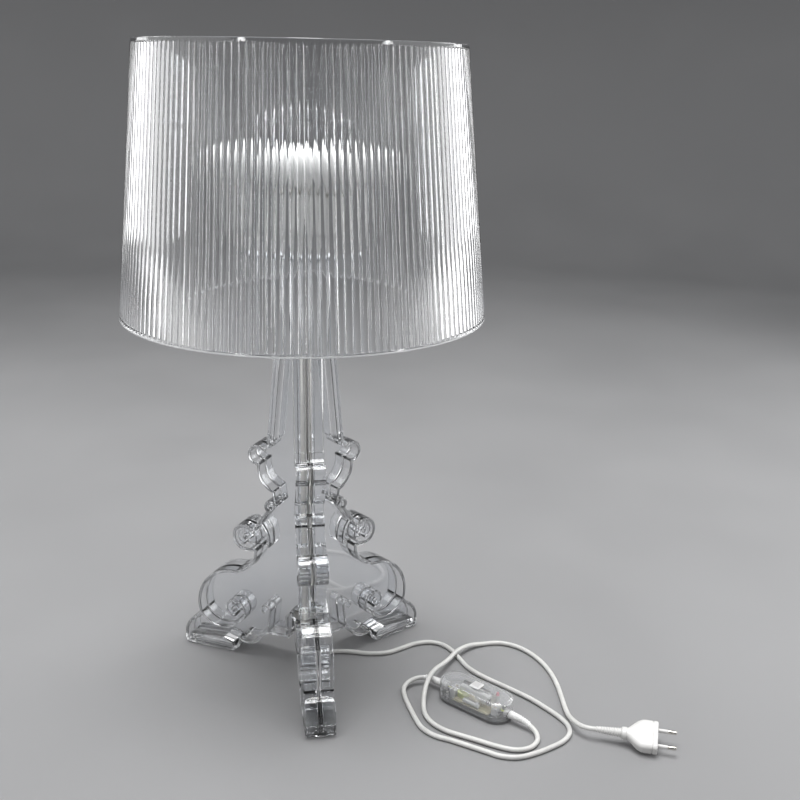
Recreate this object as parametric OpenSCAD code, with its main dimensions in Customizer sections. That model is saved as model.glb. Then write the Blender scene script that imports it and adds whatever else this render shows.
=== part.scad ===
// Clear baroque table lamp: three moulded stand shells, three lampholders,
// a height-adjustable ribbed shade and a lead with an in-line dimmer.
// The origin is on the floor under the lamp's axis, +Z up, front wing along -Y.

/* [Stand] */
// Thickness of a wing across its two half shells
wing_t = 31.5; // [28:0.5:36]
// Gap between a shell's inner face and the wing's middle plane
seam = 0.15; // [0.1:0.05:0.3]
// Thickness of the flat web of one shell
web_t = 2.2; // [1.8:0.2:3]
// Thickness of the moulded ribbon along the wing's outline
ribbon_t = 3; // [2.4:0.2:3.2]
// Height of the stand shells' top face
stand_h = 467; // [467:1:475]
// Outer radius of the centre tube
tube_r = 6; // [5.5:0.1:6.1]
// Thickness of the foot pads
pad_t = 1; // [0.8:0.1:1]

/* [Shade] */
// Outer radius of the shade at its bottom rim
shade_bottom_r = 185; // [175:1:190]
// Outer radius of the shade at its top rim
shade_top_r = 158.8; // [150:0.2:165]
// Height of the bottom rim
shade_bottom_z = 410; // [400:1:415]
// Height of the top rim
shade_top_z = 672; // [665:1:680]
// Wall thickness of the shade
shade_wall = 2.6; // [2:0.2:3]
// Height of the spider's top face
spider_z = 603; // [602:0.5:604]

/* [Lampholders] */
// Number of lampholders
lamp_count = 3; // [3:1:3]
// Tilt of each lampholder away from the lamp's axis, in degrees
lamp_tilt = 12; // [10:0.5:13]
// Radius on which the holders' bases stand
lamp_base_r = 24; // [23:0.5:25]
// Height of the holders' bases
lamp_base_z = 487; // [487:0.5:489]
// Radius of a bulb's globe
globe_r = 22.5; // [20:0.5:23]

/* [Lead] */
// Diameter of the lead
lead_d = 5; // [4.6:0.2:5]
// Length of the dimmer's housing
dimmer_l = 88; // [84:1:90]
// Width of the dimmer's housing
dimmer_w = 36; // [34:1:36]
// Height of the dimmer's housing
dimmer_h = 24; // [22:1:26]

/* [Hidden] */
$fn = 64;

CLEAR = [0.86, 0.88, 0.9, 0.45];
STEEL = [0.7, 0.7, 0.72];
CHROME = [0.8, 0.8, 0.82];
WHITE = [0.93, 0.93, 0.91];
eps = 0.01;

// Wing directions in degrees: the front wing, then the right rear and the left rear one
WING_AZ = [-90, 30, 150];
half_t = wing_t / 2;
sleeve_in = tube_r + 0.2;
sleeve_out = sleeve_in + 2.6;
web_in = sleeve_in + 1.3;
sleeve_bottom = 58;
web_top = stand_h - 1;
web_bottom = sleeve_bottom + 2;
foot_z = pad_t;
arch_z = 33.5;
recess_r = 17;

// ---- wing outline, in the wing's own plane: x is the radius, y the height ----
function arc(c, r, a0, a1, n) =
    [for (i = [0:n]) let (a = a0 + (a1 - a0) * i / n) c + r * [cos(a), sin(a)]];

KNOB = [50.5, 250];
BELLY = [22, 236];
BEAD = [36, 191];
VOLUTE = [68.5, 149.5];
NECK = [88, 137.5];
SCROLL = [83.5, 57];
FOOT = [122, 12];
HOOK = [45, 63];
ROLL = [86, 55];
volute_r = 16;
scroll_r = 49;

WING = concat(
    [[19.5, web_top], [39.5, 262]],
    arc(KNOB, 12, 128, -84, 14),
    arc(BELLY, 30, 0, -66, 8),
    arc(BEAD, 8, 118, -42, 8),
    arc(VOLUTE, volute_r, 128, -90, 16),
    [[58, 133.5]],
    arc(NECK, 31, 198, 254, 5),
    arc(SCROLL, scroll_r, 92, -15, 18),
    arc(FOOT, 29.5, 66, 8, 6),
    [[151, foot_z + 2], [149, foot_z], [91, foot_z], [89, foot_z + 1.5], [80.5, 8]],
    arc([70, 37.5], 22.5, 288, 204, 7),
    [[42, arch_z], [recess_r, arch_z], [recess_r, web_bottom], [web_in, web_bottom]]);

function unit(v) = v / norm(v);
function step(p, i) = unit(p[min(i + 1, len(p) - 1)] - p[min(i, len(p) - 2)]);
function mitre(a, b) = unit([a[1] + b[1], -a[0] - b[0]]);
// The outline moved inwards by d, with its corners mitred
function inset(p, d) =
    [for (i = [0:len(p) - 1])
        let (a = step(p, max(i - 1, 0)), b = step(p, i), m = mitre(a, b))
        p[i] + m * d / max(m * [a[1], -a[0]], 0.6)];

// Inner edge of the ribbon, which runs from the top of the wing round to the recess under the sleeve
RIBBON_INNER = let (p = inset(WING, ribbon_t)) concat(
    [[p[0][0], stand_h]], [for (i = [0:len(p) - 3]) p[i]],
    [[recess_r + ribbon_t, web_bottom - 1], [0, web_bottom - 1], [0, stand_h]]);

// A strip that winds round c, its outer radius going from r0 to r1 between two angles
function winding(c, r0, r1, a0, a1, w, n) =
    concat([for (i = [0:n]) let (a = a0 + (a1 - a0) * i / n) c + (r0 + (r1 - r0) * i / n) * [cos(a), sin(a)]],
        [for (i = [n:-1:0]) let (a = a0 + (a1 - a0) * i / n) c + (r0 + (r1 - r0) * i / n - w) * [cos(a), sin(a)]]);

module wing_web_2d() polygon(concat(WING, [[web_in, web_top]]));

module wing_ribbon_2d() difference() {
    wing_web_2d();
    polygon(RIBBON_INNER);
}

// Rolled ends of the volute and the scroll, the leaf beside the volute, the hook over the arch and the foot
module wing_relief_2d() intersection() {
    wing_web_2d();
    union() {
        polygon(winding(VOLUTE, volute_r, volute_r - 7, -80, -440, 2.6, 24));
        translate(VOLUTE) circle(r = 4);
        polygon(winding(VOLUTE, 30, 30, 138, 196, 4.5, 8));
        polygon(winding(ROLL, 46, 17, -16, -100, 3, 12));
        polygon(winding(ROLL, 17, 8, -100, -460, 2.6, 24));
        translate(ROLL) circle(r = 4);
        translate(HOOK) circle(r = 6);
        polygon([[40, HOOK[1] - 3], [51, HOOK[1] - 1], [47, arch_z + 1], [42, arch_z + 1]]);
        polygon([[86, 0], [152, 0], [148, 13], [100, 16.5], [86, 12]]);
    }
}

module wing_plate(h) rotate([90, 0, 0]) translate([0, 0, seam]) linear_extrude(h - seam) children();

// Half a wing on the clockwise side of the wing's middle plane
module half_wing() {
    wing_plate(web_t) wing_web_2d();
    wing_plate(half_t) wing_ribbon_2d();
    wing_plate(half_t - 1) wing_relief_2d();
}

// Angle between a third of the sleeve and the wing's middle plane, and the flanges at its ends
sleeve_gap = 2;
flange_r = 18;
flange_t = 3.5;
// One stand shell: half of wing k, half of the next wing and a third of the sleeve between them
module stand_shell(k) color(CLEAR) {
    rotate([0, 0, WING_AZ[k]]) mirror([0, 1, 0]) half_wing();
    rotate([0, 0, WING_AZ[k] + 120]) half_wing();
    rotate([0, 0, WING_AZ[k] + sleeve_gap]) rotate_extrude(angle = 120 - 2 * sleeve_gap)
        polygon([[sleeve_in, sleeve_bottom], [flange_r, sleeve_bottom], [flange_r, sleeve_bottom + flange_t],
            [sleeve_out, sleeve_bottom + flange_t], [sleeve_out, stand_h - flange_t],
            [flange_r, stand_h - flange_t], [flange_r, stand_h], [sleeve_in, stand_h]]);
}

module foot_pads() color(CLEAR) for (az = WING_AZ, r = [102, 138])
    rotate([0, 0, az]) translate([r, 0, 0]) cylinder(r = 7, h = pad_t);

// ---- centre tube and what clamps the shells to it ----
tube_bottom = 45;
tube_top = 492;
tube_bore = 4;
module ring(r_out, r_in, z0, h) translate([0, 0, z0]) difference() {
    cylinder(r = r_out, h = h);
    translate([0, 0, -1]) cylinder(r = r_in, h = h + 2);
}

module centre_tube() color(STEEL) ring(tube_r, tube_bore, tube_bottom, tube_top - tube_bottom);
module bottom_plate() color(STEEL) ring(recess_r - 1, tube_r + 0.1, sleeve_bottom - 3, 3);
module bottom_washer() color(STEEL) ring(11, tube_r + 0.1, sleeve_bottom - 4.5, 1.5);
module bottom_nut() color(STEEL) difference() {
    translate([0, 0, 47.5]) cylinder(r = 10.4, h = 6, $fn = 6);
    translate([0, 0, 46]) cylinder(r = tube_r + 0.05, h = 9);
}

gland_z = 25;
module cable_gland() color(WHITE) difference() {
    union() {
        translate([0, 0, gland_z]) cylinder(r1 = 3.9, r2 = 5.6, h = tube_bottom - gland_z);
        translate([0, 0, tube_bottom]) cylinder(r = tube_bore - 0.05, h = 8);
    }
    translate([0, 0, gland_z + 2]) cylinder(r = lead_d / 2 + 0.1, h = 30);
}

module inner_cable() color(WHITE) translate([0, 0, gland_z + 2]) cylinder(r = lead_d / 2, h = 455);

cap_h = 4;
module stand_cap() color(CHROME) ring(21, tube_r + 0.1, stand_h, cap_h);

// ---- lamp carrier, holders and bulbs ----
LAMP_AZ = [-90, 30, 150];
module at_lamp(k) rotate([0, 0, LAMP_AZ[k]]) translate([lamp_base_r, 0, lamp_base_z])
    rotate([0, lamp_tilt, 0]) children();

carrier_z = stand_h + cap_h;
module lamp_carrier() color(WHITE) difference() {
    union() {
        translate([0, 0, carrier_z]) cylinder(r = 19, h = 12);
        for (k = [0:lamp_count - 1]) at_lamp(k) translate([0, 0, -14]) cylinder(r = 10, h = 14);
    }
    translate([0, 0, carrier_z - 1]) cylinder(r = tube_r + 0.1, h = 30);
    translate([0, 0, carrier_z + 12]) cylinder(r = 10, h = 20);
    translate([0, 0, carrier_z - 20]) cylinder(r = 40, h = 20);
}
module locking_nut() color(STEEL) ring(9.6, tube_r + 0.05, carrier_z + 12, 5);

housing_h = 50;
module holder_housing(k) color(WHITE) at_lamp(k) difference() {
    cylinder(r = 13.5, h = housing_h);
    translate([0, 0, 3]) cylinder(r = 11.6, h = housing_h);
}
// Insulating insert with the threaded shell and the centre contact
module holder_insert(k) color([0.8, 0.72, 0.5]) at_lamp(k) difference() {
    translate([0, 0, 3]) cylinder(r = 11.5, h = 40);
    translate([0, 0, 19]) cylinder(r = 7.4, h = 30);
}
module bulb_cap(k) color(STEEL) at_lamp(k) {
    translate([0, 0, 19.5]) cylinder(r = 2.6, h = 2);
    translate([0, 0, 21]) cylinder(r1 = 4, r2 = 6.9, h = 3);
    translate([0, 0, 24]) cylinder(r = 6.9, h = 18);
}
globe_z = 74;
module bulb_globe(k) color([0.96, 0.96, 0.95]) at_lamp(k) {
    translate([0, 0, 42]) cylinder(r = 7.2, h = 5);
    translate([0, 0, 47]) cylinder(r1 = 7.2, r2 = 12, h = 8.5);
    translate([0, 0, globe_z]) sphere(r = globe_r);
}

// ---- telescopic shade support ----
collar_z = 585;
tube_end_z = 597;
rod_r = 3;
rod_bore = rod_r + 0.06;
screw_z = 591;
module shade_tube() color(CHROME) difference() {
    union() {
        translate([0, 0, tube_top - 8]) cylinder(r = tube_bore - 0.05, h = 9);
        translate([0, 0, tube_top]) cylinder(r = tube_r, h = 2);
        translate([0, 0, tube_top]) cylinder(r = 5, h = tube_end_z - tube_top);
        translate([0, 0, collar_z]) cylinder(r = 8.5, h = tube_end_z - collar_z);
    }
    translate([0, 0, tube_top - 7]) cylinder(r = rod_bore, h = 120);
    translate([0, 0, screw_z]) rotate([-90, 0, 0]) cylinder(r = 1.65, h = 12);
}
module clamp_screw() color(CHROME) translate([0, 0, screw_z]) rotate([-90, 0, 0]) {
    translate([0, 0, rod_r + 0.4]) cylinder(r = 1.6, h = 6);
    translate([0, 0, 9]) cylinder(r = 2.4, h = 1.5);
    translate([0, 0, 10]) cylinder(r = 5, h = 6);
}

spider_t = 3;
spider_bottom = spider_z - spider_t;
module shade_rod() color(CHROME) {
    translate([0, 0, 486]) cylinder(r = rod_r, h = 132);
    translate([0, 0, 598]) cylinder(r = 6, h = spider_bottom - 598);
}

SPIDER_AZ = [-30, 90, 210];
function shade_r(z) = shade_bottom_r
    + (shade_top_r - shade_bottom_r) * (z - shade_bottom_z) / (shade_top_z - shade_bottom_z);
spider_reach = shade_r(spider_bottom) - shade_wall - 3;
rivet_r = 1.5;
module shade_spider() color(CLEAR) difference() {
    union() {
        translate([0, 0, spider_bottom]) cylinder(r = 14, h = spider_t);
        for (az = SPIDER_AZ) rotate([0, 0, az]) {
            translate([5, -4, spider_bottom]) cube([spider_reach - 11, 8, spider_t]);
            translate([spider_reach - 6, 0, spider_bottom]) cylinder(r = 6, h = spider_t);
        }
    }
    translate([0, 0, spider_bottom - 1]) cylinder(r = rod_r + 0.1, h = spider_t + 2);
    for (az = SPIDER_AZ) rotate([0, 0, az]) translate([spider_reach - 6, 0, spider_bottom - 1])
        cylinder(r = rivet_r + 0.05, h = spider_t + 2);
}
module spider_rivets() color(CLEAR) for (az = SPIDER_AZ)
    rotate([0, 0, az]) translate([spider_reach - 6, 0, 0]) {
        translate([0, 0, spider_bottom - 4]) cylinder(r = rivet_r, h = spider_t + 4);
        translate([0, 0, spider_z]) cylinder(r = 3, h = 1.4);
    }
module spider_washer() color(CHROME) ring(9, rod_r + 0.1, spider_z, 1.2);
module finial_nut() color(CHROME) difference() {
    union() {
        translate([0, 0, spider_z + 1.3]) cylinder(r = 9, h = 8, $fn = 48);
        translate([0, 0, spider_z + 9.3]) cylinder(r = 6.5, h = 3);
    }
    translate([0, 0, spider_z]) cylinder(r = rod_bore, h = 14);
}

// Conical shell with a bead at the bottom rim, a plain band at the top and three lugs inside
lug_h = 5;
module shade() color(CLEAR) difference() {
    union() {
        rotate_extrude($fn = 128) polygon([
            [shade_bottom_r - shade_wall, shade_bottom_z],
            [shade_bottom_r, shade_bottom_z],
            [shade_bottom_r, shade_bottom_z + 2],
            [shade_top_r, shade_top_z],
            [shade_top_r - shade_wall, shade_top_z]]);
        for (az = SPIDER_AZ) rotate([0, 0, az]) translate([spider_reach - 13, -8, spider_bottom - lug_h])
            cube([shade_r(spider_bottom) - spider_reach + 12, 16, lug_h]);
    }
    for (az = SPIDER_AZ) rotate([0, 0, az]) translate([spider_reach - 6, 0, spider_bottom - lug_h + 0.8])
        cylinder(r = rivet_r + 0.05, h = lug_h);
}

// ---- lead, swept along points that were laid out on the floor by hand ----
LEAD_A = [[0, 0, 25], [1.5, 0.5, 16.5], [6, 2, 9.5], [12.5, 5, 4.8], [21, 8, 2.9], [33, 11, 2.7],
    [50, 8, 2.7], [71, 1, 2.7], [92, 0, 2.7], [110, 7, 2.7], [128, 15, 2.7], [146, 16, 2.7],
    [160, 8, 2.7], [168.5, -7, 2.7], [173, -25, 2.7], [179, -46, 2.7], [192, -67, 2.7], [212, -91, 2.7],
    [231, -115, 2.7], [244, -137, 2.7], [252, -153, 2.7], [256, -168, 2.7], [253, -182, 2.7],
    [243, -193, 2.7], [228, -201, 2.7], [210, -208, 2.7], [191, -212, 2.7], [174, -208, 2.7],
    [160, -198, 2.7], [131, -176, 2.7], [116, -166, 2.7], [106, -153, 2.7], [101.5, -137, 2.7],
    [97.5, -103, 2.7], [97, -86, 3.6], [99.5, -76, 5], [107, -68.5, 6.6], [117, -65.6, 8],
    [126.8, -68.1, 8.8], [132.6, -73, 9]];
LEAD_B = [[207.4, -159, 9], [213.5, -166, 7], [218.3, -176, 4.6], [217.3, -187.5, 3.2], [210, -196.5, 2.7],
    [199.5, -200.5, 2.7], [187, -199, 2.7], [171, -190, 2.7], [156, -179, 2.7], [141, -168.5, 2.7],
    [127, -157.5, 2.7], [117, -143.5, 2.7], [112.5, -127, 2.9], [114, -110, 5.5], [119, -93, 11],
    [127, -77, 16], [137, -61, 14.5], [148.5, -45, 10], [160, -30, 7.4], [172, -16.5, 8.3], [189, -3.5, 6],
    [207, 3, 2.9], [227, 3, 2.7], [244, -6.5, 2.7], [256, -22, 2.7], [264.5, -43, 2.7], [268.5, -67, 2.7],
    [268.5, -92, 2.7], [265.5, -118, 3], [262, -141, 4.8], [260, -158, 7.6], [261, -171.5, 10],
    [264.5, -182, 11.4], [271, -188.8, 12.3], [280.7, -192.8, 12.5]];
LEAD_SIDES = 10;

function heading(p, i) = unit(p[min(i + 1, len(p) - 1)] - p[max(i - 1, 0)]);
function side_of(t) = unit(cross(t, abs(t[2]) < 0.8 ? [0, 0, 1] : [0.36, -0.93, 0]));
function tube_ring(p, i, r) =
    let (t = heading(p, i), s = side_of(t), u = cross(s, t))
    [for (j = [0:LEAD_SIDES - 1]) let (a = 360 * j / LEAD_SIDES) p[i] + r * (cos(a) * s + sin(a) * u)];
module swept_tube(p, r) {
    n = LEAD_SIDES;
    m = len(p);
    polyhedron(
        points = [for (i = [0:m - 1]) each tube_ring(p, i, r)],
        faces = concat(
            [[for (j = [0:n - 1]) j]],
            [for (i = [0:m - 2], j = [0:n - 1]) each [
                [i * n + j, (i + 1) * n + j, (i + 1) * n + (j + 1) % n],
                [i * n + j, (i + 1) * n + (j + 1) % n, i * n + (j + 1) % n]]],
            [[for (j = [n - 1:-1:0]) (m - 1) * n + j]]));
}
module lead_lamp_to_dimmer() color(WHITE) swept_tube(LEAD_A, lead_d / 2);
module lead_dimmer_to_plug() color(WHITE) swept_tube(LEAD_B, lead_d / 2);

// ---- in-line dimmer, in its own frame: x along the housing, z up from the floor ----
dimmer_wall = 2;
split_z = 10;
lead_z = 9;
relief_l = 13;
end_x = dimmer_l / 2 - dimmer_w / 2;
module at_dimmer() translate([170, -116, 0]) rotate([0, 0, -49]) children();
module pill_2d(inset) {
    square([2 * end_x, dimmer_w - 2 * inset], center = true);
    for (s = [-1, 1]) translate([s * end_x, 0]) circle(r = dimmer_w / 2 - inset);
}
module slab(z0, z1) translate([0, 0, z0]) linear_extrude(z1 - z0) children();
module lead_ways(r) for (s = [-1, 1]) translate([s * (dimmer_l / 2 - 8), 0, lead_z])
    rotate([0, s * 90, 0]) cylinder(r = r, h = 12);

grommet_r = 4.4;
module dimmer_base() color(CLEAR) at_dimmer() difference() {
    union() {
        difference() {
            slab(0, split_z) pill_2d(0);
            slab(dimmer_wall, split_z + 1) pill_2d(dimmer_wall);
        }
        for (s = [-1, 1]) translate([s * 31, s * 9, dimmer_wall - eps]) cylinder(r = 3, h = split_z - 3);
    }
    lead_ways(grommet_r + 0.05);
    for (s = [-1, 1]) translate([s * 31, s * 9, -1]) cylinder(r = 1.6, h = split_z + 2);
}
slot_l = 34;
slider_throw = 10;
module dimmer_cover() color(CLEAR) at_dimmer() difference() {
    union() {
        slab(split_z + 0.1, dimmer_h - 3) pill_2d(0);
        slab(dimmer_h - 3 - eps, dimmer_h) pill_2d(3);
    }
    slab(split_z, dimmer_h - 5) pill_2d(dimmer_wall);
    slab(dimmer_h - 5 - eps, dimmer_h - dimmer_wall) pill_2d(5);
    lead_ways(grommet_r + 0.05);
    translate([-slot_l / 2, -2.5, dimmer_h - 3]) cube([slot_l, 5, 4]);
}
module dimmer_slider() color(WHITE) at_dimmer() {
    translate([-1.5, -1.5, 19.5]) cube([3, 3, 5]);
    translate([-6, -6, dimmer_h + 0.4]) cube([12, 12, 3]);
}
module dimmer_screws() color(STEEL) at_dimmer() for (s = [-1, 1]) translate([s * 31, s * 9, 0]) {
    translate([0, 0, 0.3]) cylinder(r = 1.5, h = 9.5);
}
board_z = 4;
module dimmer_board() color([0.8, 0.78, 0.6]) at_dimmer() translate([-22, -12, board_z]) cube([45, 24, 1.6]);
part_z = board_z + 1.6;
module dimmer_choke() color([0.75, 0.78, 0.25]) at_dimmer() translate([-16, 0, part_z])
    difference() {
        cylinder(r = 7, h = 7);
        translate([0, 0, -1]) cylinder(r = 3, h = 9);
    }
module dimmer_capacitor() color(WHITE) at_dimmer() translate([-3, 3, part_z]) cube([14, 7, 10]);
module dimmer_triac() color([0.25, 0.25, 0.27]) at_dimmer() {
    translate([13, 1, part_z]) cube([4.5, 10, 9]);
    translate([17.6, 3, part_z]) cube([1.4, 8.5, 12]);
}
module dimmer_fuse() color([0.85, 0.85, 0.8]) at_dimmer() translate([-10, -8, part_z + 2.6])
    rotate([0, 90, 0]) cylinder(r = 2.5, h = 20);
module dimmer_slide_pot() color(WHITE) at_dimmer() difference() {
    translate([-19, -4, 16]) cube([38, 6.5, 3.2]);
    translate([-16, -1.8, 17]) cube([32, 3.6, 3]);
}
module dimmer_indicator() color([0.85, 0.2, 0.3]) at_dimmer() translate([20.8, 10, part_z])
    cylinder(r = 1.6, h = 14.5);
module dimmer_terminals() color(WHITE) at_dimmer() for (s = [-1, 1])
    translate([s * 27 - 3.5, -6, dimmer_wall]) cube([7, 12, 10]);
module dimmer_grommets() color(WHITE) at_dimmer() for (s = [-1, 1]) rotate([0, 0, 90 - 90 * s])
    difference() {
        union() {
            translate([dimmer_l / 2 - 7, 0, lead_z]) rotate([0, 90, 0]) cylinder(r = grommet_r, h = 7);
            translate([dimmer_l / 2, 0, lead_z]) rotate([0, 90, 0]) cylinder(r1 = grommet_r, r2 = 3.4, h = relief_l);
        }
        translate([dimmer_l / 2 - 8, 0, lead_z]) rotate([0, 90, 0]) cylinder(r = lead_d / 2, h = 10);
    }

// ---- flat two-pin plug, in its own frame: x from the lead to the pin tips ----
plug_t = 13.7;
plug_w = 35.3;
plug_roll = 20;
body_l = 36;
pin_l = 19;
pin_r = 2;
pin_pitch = 18.6;
sleeve_l = 10;
module at_plug() translate([301, -201.3, 12.5]) rotate([0, 0, -22.8]) rotate([plug_roll, 0, 0]) children();
module plug_body() color(WHITE) at_plug() translate([0, 0, -plug_t / 2]) linear_extrude(plug_t)
    polygon([[0, -6], [0, 6], [5, 8.5], [14, 15.5], [20, plug_w / 2], [body_l, plug_w / 2 - 1.5],
        [body_l, 1.5 - plug_w / 2], [20, -plug_w / 2], [14, -15.5], [5, -8.5]]);
plug_relief_l = 22;
module plug_relief() color(WHITE) at_plug() translate([-plug_relief_l, 0, 0]) rotate([0, 90, 0])
    cylinder(r1 = 3, r2 = 5.4, h = plug_relief_l);
module plug_pins() color(CHROME) at_plug() for (s = [-1, 1])
    translate([body_l, s * pin_pitch / 2, 0]) rotate([0, 90, 0]) {
        cylinder(r = pin_r - 0.5, h = sleeve_l);
        translate([0, 0, sleeve_l]) cylinder(r = pin_r, h = pin_l - sleeve_l - pin_r);
        translate([0, 0, pin_l - pin_r]) sphere(r = pin_r);
    }
module pin_sleeves() color(WHITE) at_plug() for (s = [-1, 1])
    translate([body_l, s * pin_pitch / 2, 0]) rotate([0, 90, 0]) difference() {
        cylinder(r = pin_r, h = sleeve_l);
        translate([0, 0, -1]) cylinder(r = pin_r - 0.45, h = sleeve_l + 2);
    }

stand_shell(0);  // stand_shell_right
stand_shell(1);  // stand_shell_rear
stand_shell(2);  // stand_shell_left
foot_pads();
centre_tube();
bottom_plate();
bottom_washer();
bottom_nut();
cable_gland();
inner_cable();
stand_cap();
lamp_carrier();
locking_nut();
holder_housing(0);  // holder_housing_1
holder_housing(1);  // holder_housing_2
holder_housing(2);  // holder_housing_3
holder_insert(0);  // holder_insert_1
holder_insert(1);  // holder_insert_2
holder_insert(2);  // holder_insert_3
bulb_cap(0);  // bulb_cap_1
bulb_cap(1);  // bulb_cap_2
bulb_cap(2);  // bulb_cap_3
bulb_globe(0);  // bulb_globe_1
bulb_globe(1);  // bulb_globe_2
bulb_globe(2);  // bulb_globe_3
shade_tube();
clamp_screw();
shade_rod();
shade_spider();
spider_rivets();
spider_washer();
finial_nut();
shade();
lead_lamp_to_dimmer();
dimmer_base();
dimmer_cover();
dimmer_slider();
dimmer_screws();
dimmer_board();
dimmer_choke();
dimmer_capacitor();
dimmer_triac();
dimmer_fuse();
dimmer_slide_pot();
dimmer_indicator();
dimmer_terminals();
dimmer_grommets();
lead_dimmer_to_plug();
plug_body();
plug_relief();
plug_pins();
pin_sleeves();
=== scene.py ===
"""The looks of the clear baroque table lamp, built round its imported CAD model.

Lengths are in millimetres in the model's own frame, and shown() turns them into metres.
The origin is on the floor under the lamp's axis, +Z is up and the front wing points along -Y.
"""

import math

import bmesh
import bpy
from mathutils import Matrix, Vector


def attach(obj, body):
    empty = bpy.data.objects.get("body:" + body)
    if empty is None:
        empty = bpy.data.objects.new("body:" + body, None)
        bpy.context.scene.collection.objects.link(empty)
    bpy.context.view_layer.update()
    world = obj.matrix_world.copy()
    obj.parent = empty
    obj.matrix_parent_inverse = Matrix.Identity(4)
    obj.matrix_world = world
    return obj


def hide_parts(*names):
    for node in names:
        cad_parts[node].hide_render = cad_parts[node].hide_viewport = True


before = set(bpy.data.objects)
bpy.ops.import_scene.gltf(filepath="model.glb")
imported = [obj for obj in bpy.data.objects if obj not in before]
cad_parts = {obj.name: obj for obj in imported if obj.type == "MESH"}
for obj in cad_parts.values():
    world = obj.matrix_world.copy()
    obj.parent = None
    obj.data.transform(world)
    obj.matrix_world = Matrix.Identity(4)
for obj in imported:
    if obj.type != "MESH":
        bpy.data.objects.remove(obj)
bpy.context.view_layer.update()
MM = 0.001
SCENE = bpy.context.scene


# ---------------------------------------------------------------- camera
CAMERA_AT = (-88.7, -1063.7, 653.4)
HEADING, PITCH, ROLL = 10.15, 18.39, 1.16  # degrees from +Y towards +X, down, and clockwise
LENS, SHIFT = 47.48, 0.0185


def make_camera():
    """A camera in front of the lamp, to its left and above the stand, that looks slightly down."""
    data = bpy.data.cameras.new("camera")
    data.lens = LENS
    data.shift_y = SHIFT
    camera = bpy.data.objects.new("camera", data)
    SCENE.collection.objects.link(camera)
    heading = Matrix.Rotation(-math.radians(HEADING), 4, "Z")
    pitch = Matrix.Rotation(math.radians(90 - PITCH), 4, "X")
    roll = Matrix.Rotation(math.radians(ROLL), 4, "Z")
    camera.matrix_world = Matrix.Translation(Vector(CAMERA_AT) * MM) @ heading @ pitch @ roll
    SCENE.camera = camera


make_camera()


# ---------------------------------------------------------------- materials
GRAIN_LOW, GRAIN_HIGH = 0.3, 0.7  # the part of the noise's range that a colour or a gloss is spread over
FINE_GRAIN = 6  # how many times finer the bumps are than the colour's grain


def grain(mat, scale, detail):
    """Noise in the object's own coordinates: returns its factor's socket."""
    nodes = mat.node_tree.nodes
    place = nodes.new("ShaderNodeTexCoord")
    noise = nodes.new("ShaderNodeTexNoise")
    noise.inputs["Scale"].default_value = scale
    noise.inputs["Detail"].default_value = detail
    mat.node_tree.links.new(place.outputs["Object"], noise.inputs["Vector"])
    return noise.outputs["Fac"]


def spread(mat, socket, low, high, target):
    """A grain's factor, mapped between two values, into a shader's socket."""
    node = mat.node_tree.nodes.new("ShaderNodeMapRange")
    node.inputs["From Min"].default_value = GRAIN_LOW
    node.inputs["From Max"].default_value = GRAIN_HIGH
    node.inputs["To Min"].default_value = low
    node.inputs["To Max"].default_value = high
    mat.node_tree.links.new(socket, node.inputs["Value"])
    mat.node_tree.links.new(node.outputs["Result"], target)


def tint(mat, socket, dark, light, target):
    """A grain's factor, as a colour between two, into a shader's socket."""
    ramp = mat.node_tree.nodes.new("ShaderNodeValToRGB")
    for element, place, colour in zip(ramp.color_ramp.elements, (GRAIN_LOW, GRAIN_HIGH), (dark, light)):
        element.position = place
        element.color = (*colour, 1)
    mat.node_tree.links.new(socket, ramp.inputs["Fac"])
    mat.node_tree.links.new(ramp.outputs["Color"], target)


def bump(mat, socket, depth, shader):
    """Moves the surface by up to depth millimetres where the grain says."""
    node = mat.node_tree.nodes.new("ShaderNodeBump")
    node.inputs["Strength"].default_value = 1.0
    node.inputs["Distance"].default_value = depth * MM
    mat.node_tree.links.new(socket, node.inputs["Height"])
    mat.node_tree.links.new(node.outputs["Normal"], shader.inputs["Normal"])


def finish_of(name, dark, light, rough, grain_scale, depth, **fixed):
    """A Principled material with a coloured grain, uneven gloss and a fine bump."""
    mat = bpy.data.materials.new(name)
    mat.use_nodes = True
    shader = mat.node_tree.nodes["Principled BSDF"]
    for socket, value in fixed.items():
        shader.inputs[socket.replace("_", " ")].default_value = value
    coarse = grain(mat, grain_scale, 4.0)
    tint(mat, coarse, dark, light, shader.inputs["Base Color"])
    spread(mat, coarse, rough[0], rough[1], shader.inputs["Roughness"])
    bump(mat, grain(mat, grain_scale * FINE_GRAIN, 2.0), depth, shader)
    return mat


def clear_plastic(name, rough, wave, clarity=1.0, ior=1.58):
    """Clear moulded plastic, slightly uneven in gloss, tone and flatness. Under 1, clarity makes it milky."""
    return finish_of(name, (0.93, 0.94, 0.955), (0.97, 0.975, 0.98), rough, 14, wave,
                     Transmission_Weight=clarity, IOR=ior)


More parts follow.
